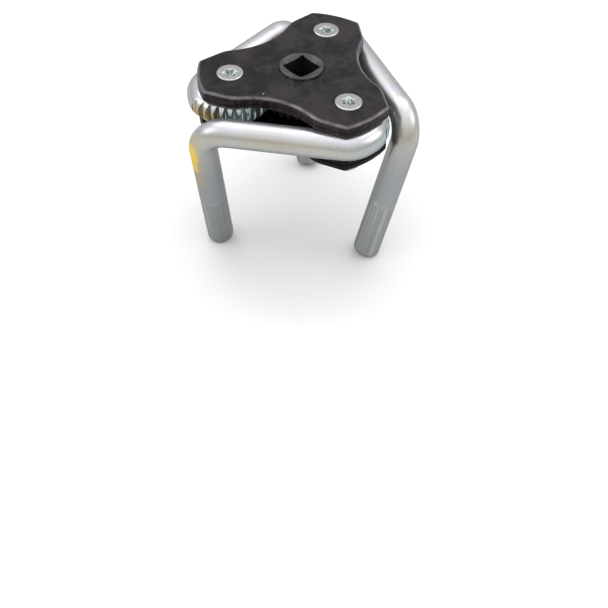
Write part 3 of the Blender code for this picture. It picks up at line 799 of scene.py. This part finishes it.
# ------------------------------------------------------------------ plates
sink = turned("sink", [(0, 1.2), (SCREW_HEAD_R + 0.22 + 1.2, 1.2), (SCREW_HEAD_R + 0.22, 0.0),
                       (SCREW_R + CLEAR, -SINK_DEPTH), (SCREW_R + CLEAR, -PLATE_T - 1), (0, -PLATE_T - 1)], 72)
plain = turned("plain", [(0, PLATE_T + 1), (SCREW_R + CLEAR, PLATE_T + 1), (SCREW_R + CLEAR, -PLATE_T - 1), (0, -PLATE_T - 1)], 48)
hub_cut = turned("hub_cut", [(0, 1), (HUB_HOLE_R + 0.22 + 1, 1), (HUB_HOLE_R, -0.22), (HUB_HOLE_R, -PLATE_T - 1), (0, -PLATE_T - 1)], 96)
hub_cut_low = hub_cut.copy()
hub_cut_low.transform(Matrix.Rotation(pi, 4, 'X'))


def at_pivots(me, z=0.0):
    out = []
    for k in range(3):
        a = 2 * pi / 3 * k
        m = me.copy()
        m.transform(Matrix.Translation((PIVOT_R * cos(a) * MM, PIVOT_R * sin(a) * MM, z * MM)))
        out.append(m)
    return out


top_me = combine(plate_mesh("plate_top", 1), (hub_cut, 'DIFFERENCE'), *[(m, 'DIFFERENCE') for m in at_pivots(sink)])
bot_me = combine(plate_mesh("plate_bottom", -1), (hub_cut_low, 'DIFFERENCE'), *[(m, 'DIFFERENCE') for m in at_pivots(plain)])
piece("plate_top", smooth(top_me, 30), plate_mat, "frame", ["top_plate"], (0, 0, zz(0)))
piece("plate_bottom", smooth(bot_me, 30), plate_mat_shaded, "frame", ["bottom_plate"], (0, 0, zz(Z_BOT)))

# ------------------------------------------------------------------ drive gear
h_top, h_bot = HUB_RISE - Z_MID, Z_BOT - HUB_RISE - Z_MID
hub = turned("hub", [(0, h_top), (HUB_R - 0.35, h_top), (HUB_R - 0.12, h_top - 0.10), (HUB_R, h_top - 0.32),
                     (HUB_R, h_bot + 0.3), (HUB_R - 0.3, h_bot), (0, h_bot)], 112)
gt = HEAD_T / 2
gear_blank = turned("gear_blank", [(0, gt), (11.8, gt), (12.6, gt - 0.45), (13.0, gt - 1.2), (13.0, 1.2 - gt), (12.6, 0.45 - gt), (11.8, -gt), (0, -gt)], 112)
sq = SQUARE / 2
square = prism("square", [(sq, sq), (-sq, sq), (-sq, -sq), (sq, -sq)], h_bot - 3, h_top + 3)
square.transform(Matrix.Rotation(SQUARE_YAW, 4, 'Z'))
slope = tan(MOUTH_SLOPE)
deep = (MOUTH_R - 0.6) * slope
mouth = [(0, 1.0), (MOUTH_R + 0.30, 1.0), (MOUTH_R + 0.06, 0.02), (MOUTH_R - 0.14, -0.07), (0.6, -deep), (0, -deep)]
mouth_top = turned("mouth", mouth, 112)
mouth_low = mouth_top.copy()
mouth_low.transform(Matrix.Translation((0, 0, h_bot * MM)) @ Matrix.Rotation(pi, 4, 'X'))
mouth_top.transform(Matrix.Translation((0, 0, h_top * MM)))
gear_me = combine(gear_blank, (prism("gear_teeth", ring_outline(TEETH_SUN, 0.0), -6, 6), 'INTERSECT'), (hub, 'UNION'),
                  (square, 'DIFFERENCE'), (mouth_top, 'DIFFERENCE'), (mouth_low, 'DIFFERENCE'))
piece("gear_centre", smooth(gear_me, 28), hub_mat, "drive", ["drive_gear"], (0, 0, zz(Z_MID)))

# ------------------------------------------------------------------ jaw arms
half_t = HEAD_T / 2
prof = [(0, half_t)]
for i in range(33):
    w = radians(180.0 * i / 32)
    prof.append((BARREL_RHO + half_t * sin(w), half_t * cos(w)))
prof.append((0, -half_t))
head = turned("head", prof, 160)
bore = turned("bore", [(0, 8), (BORE_R, 8), (BORE_R, -8), (0, -8)], 64)
arm_me = combine(head, (prism("head_outline", head_outline(), -6, 6), 'INTERSECT'), (bar_mesh("bar"), 'UNION'),
                 (prisms("tooth_gaps", tooth_gaps(), -6, 6), 'DIFFERENCE'), (bore, 'DIFFERENCE'))
smooth(arm_me, 30)
for k in range(3):
    a = 2 * pi / 3 * k
    piece("arm_%d_bar" % (k + 1), arm_me, arm_mats[k], "arm_%d" % (k + 1), ["jaw_arm_%d" % (k + 1)],
          (PIVOT_R * cos(a) * MM, PIVOT_R * sin(a) * MM, zz(Z_MID)), a + ARM_YAW)

# ------------------------------------------------------------------ pivots
star = []
for i in range(12):
    a = 2 * pi * i / 12
    r = STAR_R + 0.34 if i % 2 == 0 else STAR_R - 0.42
    star.append((r * cos(a), r * sin(a)))
star_me = loft("star", [([(x * k, y * k) for x, y in star], z) for k, z in
                        ((0.30, -STAR_DEPTH * 0.80), (0.46, -STAR_DEPTH * 0.66), (0.97, 0.02), (1.30, 0.60))])
washer_z = Z_BOT - CLEAR
nut_z = washer_z - WASHER_T - CLEAR
screw_end = nut_z - NUT_T - 1.0
prof = [(0, SCREW_RISE - 0.02), (SCREW_HEAD_R - 1.0, SCREW_RISE), (SCREW_HEAD_R - 0.55, SCREW_RISE - 0.01)]
for i in range(1, 7):
    w = radians(90.0 * i / 6)
    prof.append((SCREW_HEAD_R - 0.42 + 0.42 * sin(w), SCREW_RISE - 0.42 * (1 - cos(w))))
prof += [(SCREW_HEAD_R, -0.10), (SCREW_R, -SINK_DEPTH - 0.10), (SCREW_R, Z_BOT + 1.0)]
z = Z_BOT + 0.8
while z > screw_end + 0.9:              # rolled thread below the sleeve
    prof += [(SCREW_R, z), (SCREW_R - 0.42, z - 0.42), (SCREW_R - 0.42, z - 0.55)]
    z -= 1.0
prof += [(SCREW_R - 0.1, screw_end + 0.7), (SCREW_R - 0.7, screw_end), (0, screw_end)]
screw_me = smooth(combine(turned("screw", prof, 72), (star_me, 'DIFFERENCE')), 32)
sleeve_me = smooth(turned("sleeve", [(SLEEVE_BORE_R, half_t), (SLEEVE_R - 0.3, half_t), (SLEEVE_R, half_t - 0.3),
                                     (SLEEVE_R, -half_t + 0.3), (SLEEVE_R - 0.3, -half_t), (SLEEVE_BORE_R, -half_t)], 64, closed=True), 32)


def washer_mesh():
    """Split spring washer: a square section swept round with its ends sprung apart."""
    me = bpy.data.meshes.new("washer")
    bm = bmesh.new()
    n, gap = 96, radians(9)
    rows = []
    ri, ro, e = SCREW_R + CLEAR, WASHER_R, 0.14
    sec = [(ri, -e), (ri + e, 0), (ro - e, 0), (ro, -e), (ro, -WASHER_T + e), (ro - e, -WASHER_T), (ri + e, -WASHER_T), (ri, -WASHER_T + e)]
    for i in range(n + 1):
        a = gap / 2 + (2 * pi - gap) * i / n
        rows.append([bm.verts.new((r * MM * cos(a + 0.05 * zc), r * MM * sin(a + 0.05 * zc), zc * MM)) for r, zc in sec])
    for p, q in zip(rows, rows[1:]):
        for j in range(len(sec)):
            bm.faces.new((p[j], p[(j + 1) % len(sec)], q[(j + 1) % len(sec)], q[j]))
    bm.faces.new(rows[0])
    bm.faces.new(list(reversed(rows[-1])))
    bmesh.ops.recalc_face_normals(bm, faces=bm.faces)
    bm.to_mesh(me)
    bm.free()
    return me


ac = NUT_AF / sqrt(3)
nut_prof = [(0, 0), (NUT_AF / 2 - 0.25, 0)]
for i in range(1, 6):
    nut_prof.append((NUT_AF / 2 - 0.25 + (ac - NUT_AF / 2 + 0.35) * i / 5, -0.62 * (i / 5) ** 1.2))
nut_prof += [(r, -NUT_T - z0) for r, z0 in reversed(nut_prof)]
hexagon = [(ac * cos(pi / 3 * i + 0.1), ac * sin(pi / 3 * i + 0.1)) for i in range(6)]
nut_hole = turned("nut_hole", [(0, 1), (SCREW_R + 0.7 + 1, 1), (SCREW_R + CLEAR, -0.4), (SCREW_R + CLEAR, -NUT_T + 0.4),
                               (SCREW_R + 0.7 + 1, -NUT_T - 1), (0, -NUT_T - 1)], 48)
nut_me = smooth(combine(turned("nut", nut_prof, 96), (prism("hexagon", hexagon, -NUT_T - 1, 1), 'INTERSECT'), (nut_hole, 'DIFFERENCE')), 28)
washer_me = smooth(washer_mesh(), 30)
for k in range(3):
    a = 2 * pi / 3 * k
    x, y = PIVOT_R * cos(a) * MM, PIVOT_R * sin(a) * MM
    t = a + 0.35 * k
    n = str(k + 1)
    piece("screw_" + n, screw_me, screw_mat, "frame", ["pivot_screw_" + n], (x, y, zz(0)), t)
    piece("sleeve_" + n, sleeve_me, sleeve_mat, "frame", ["pivot_sleeve_" + n], (x, y, zz(Z_MID)))
    piece("washer_" + n, washer_me, nut_mat, "frame", ["lock_washer_" + n], (x, y, zz(washer_z)), t)
    piece("nut_" + n, nut_me, nut_mat, "frame", ["hex_nut_" + n], (x, y, zz(nut_z)), t)

# ------------------------------------------------------------------ floor, light, camera
foot_z = (Z_TOP + Z_MID + FOOT_Z) * MM - 0.0008
me = bpy.data.meshes.new("floor")
bm = bmesh.new()
bmesh.ops.create_grid(bm, x_segments=1, y_segments=1, size=3.0)
bm.to_mesh(me)
bm.free()
me.transform(Matrix.Translation((0, 0, foot_z)))
floor = holder("floor", me)
fm = bpy.data.materials.new("floor")
fm.use_nodes = True
nt = fm.node_tree
pb = nt.nodes["Principled BSDF"]
pb.inputs["Base Color"].default_value = (0.68, 0.68, 0.68, 1)
pb.inputs["Specular IOR Level"].default_value = 0.0
pb.inputs["Roughness"].default_value = 0.9
me.materials.append(fm)

# soft dome: bright overhead, dimmer at the horizon and on the side away from the camera
world = bpy.data.worlds.new("studio")
scene.world = world
world.use_nodes = True
wt = world.node_tree
bg = wt.nodes["Background"]
wc = wt.nodes.new("ShaderNodeTexCoord").outputs["Generated"]


def wnode(kind, op, *ins):
    n = wt.nodes.new(kind)
    n.operation = op
    for sock, v in zip(n.inputs, ins):
        if isinstance(v, bpy.types.NodeSocket):
            wt.links.new(v, sock)
        else:
            sock.default_value = v
    return n.outputs["Value"] if "Value" in n.outputs else n.outputs[0]


def wcurve(v, stops, lo, hi):
    """Piecewise-linear value of v; the stops' values are 0 to 2.5."""
    mr = wt.nodes.new("ShaderNodeMapRange")
    wt.links.new(v, mr.inputs[0])
    mr.inputs[1].default_value, mr.inputs[2].default_value = lo, hi
    rp = wt.nodes.new("ShaderNodeValToRGB")
    e = rp.color_ramp.elements
    while len(e) < len(stops):
        e.new(0.5)
    for el, (x, c) in zip(e, stops):
        el.position = (x - lo) / (hi - lo)
        c = c if isinstance(c, tuple) else (c, c, c)
        el.color = tuple(q / 2.5 for q in c) + (1.0,)
    wt.links.new(mr.outputs[0], rp.inputs[0])
    return rp.outputs[0]


away = tuple(Matrix.Rotation(-VIEW_TURN, 4, 'Z') @ Vector((0, 1, 0)))
rise = wnode("ShaderNodeVectorMath", 'DOT_PRODUCT', wc, (0.0, 0.0, 1.0))
back = wnode("ShaderNodeVectorMath", 'DOT_PRODUCT', wc, away)
near_sky = wcurve(rise, [(0.0, (0.74, 0.70, 0.62)), (0.15, (0.90, 0.86, 0.78)), (0.42, (1.12, 1.10, 1.05)), (0.63, 1.36), (0.83, 1.50), (1.0, 2.0)], 0.0, 1.0)
far_sky = wcurve(rise, [(0.0, 0.62), (0.30, 0.95), (0.60, 1.16), (0.74, 1.35), (0.86, 1.70), (1.0, 2.0)], 0.0, 1.0)
turn_mix = wt.nodes.new("ShaderNodeMix")
turn_mix.data_type = 'RGBA'
side = wt.nodes.new("ShaderNodeMapRange")
side.interpolation_type = 'SMOOTHSTEP'
wt.links.new(back, side.inputs[0])
side.inputs[1].default_value, side.inputs[2].default_value = -0.25, 0.35
wt.links.new(side.outputs[0], turn_mix.inputs[0])
wt.links.new(near_sky, turn_mix.inputs[6])
wt.links.new(far_sky, turn_mix.inputs[7])
wt.links.new(turn_mix.outputs[2], bg.inputs["Color"])
bg.inputs["Strength"].default_value = 2.5


def in_view(v):
    """Direction or point given in the picture's axes (right, away, up), turned into the model's."""
    return Matrix.Rotation(-VIEW_TURN, 4, 'Z') @ Vector(v)


def softbox(name, at, aim, size, power, colour=(1, 1, 1)):
    li = bpy.data.lights.new(name, 'AREA')
    li.shape = 'RECTANGLE'
    li.size, li.size_y = size
    li.energy = power
    li.color = colour
    ob = bpy.data.objects.new(name, li)
    scene.collection.objects.link(ob)
    p, q = in_view(at), in_view(aim)
    ob.location = p
    ob.rotation_mode = 'QUATERNION'
    ob.rotation_quaternion = (q - p).to_track_quat('-Z', 'Y')
    return ob


softbox("overhead", (0.0, 0.38, 0.82), (0, 0, 0), (1.3, 0.42), 3.6)
softbox("left", (-0.80, -0.10, 0.50), (0, 0, 0), (0.55, 0.50), 1.5)
softbox("right", (0.80, -0.05, 0.50), (0, 0, 0), (0.55, 0.50), 1.5)

# camera fitted to the hub, the three screw heads and the legs
F_PX, PX, PY = 1035.02, 285.257, 120.231
PITCH, ROLL = radians(38.715), radians(0.563)
cam_data = bpy.data.cameras.new("camera")
cam = bpy.data.objects.new("camera", cam_data)
scene.collection.objects.link(cam)
cam_data.sensor_width = 36.0
cam_data.lens = F_PX * 36.0 / 608.0
cam_data.shift_x = (304.0 - PX) / 608.0
cam_data.shift_y = (PY - 304.0) / 608.0
cam_data.clip_start, cam_data.clip_end = 0.01, 20
fwd = Vector((0, cos(PITCH), -sin(PITCH)))
right = Vector((1, 0, 0))
up = right.cross(fwd)
r2, u2 = right * cos(ROLL) + up * sin(ROLL), -right * sin(ROLL) + up * cos(ROLL)
basis = Matrix((r2, u2, -fwd)).transposed().to_4x4()
place = Matrix.Translation(Vector((-5.612, -299.841, 216.040 + Z_TOP)) * MM) @ basis
cam.matrix_world = Matrix.Rotation(-VIEW_TURN, 4, 'Z') @ place
scene.camera = cam

scene.view_settings.view_transform = 'Standard'
scene.view_settings.look = 'None'
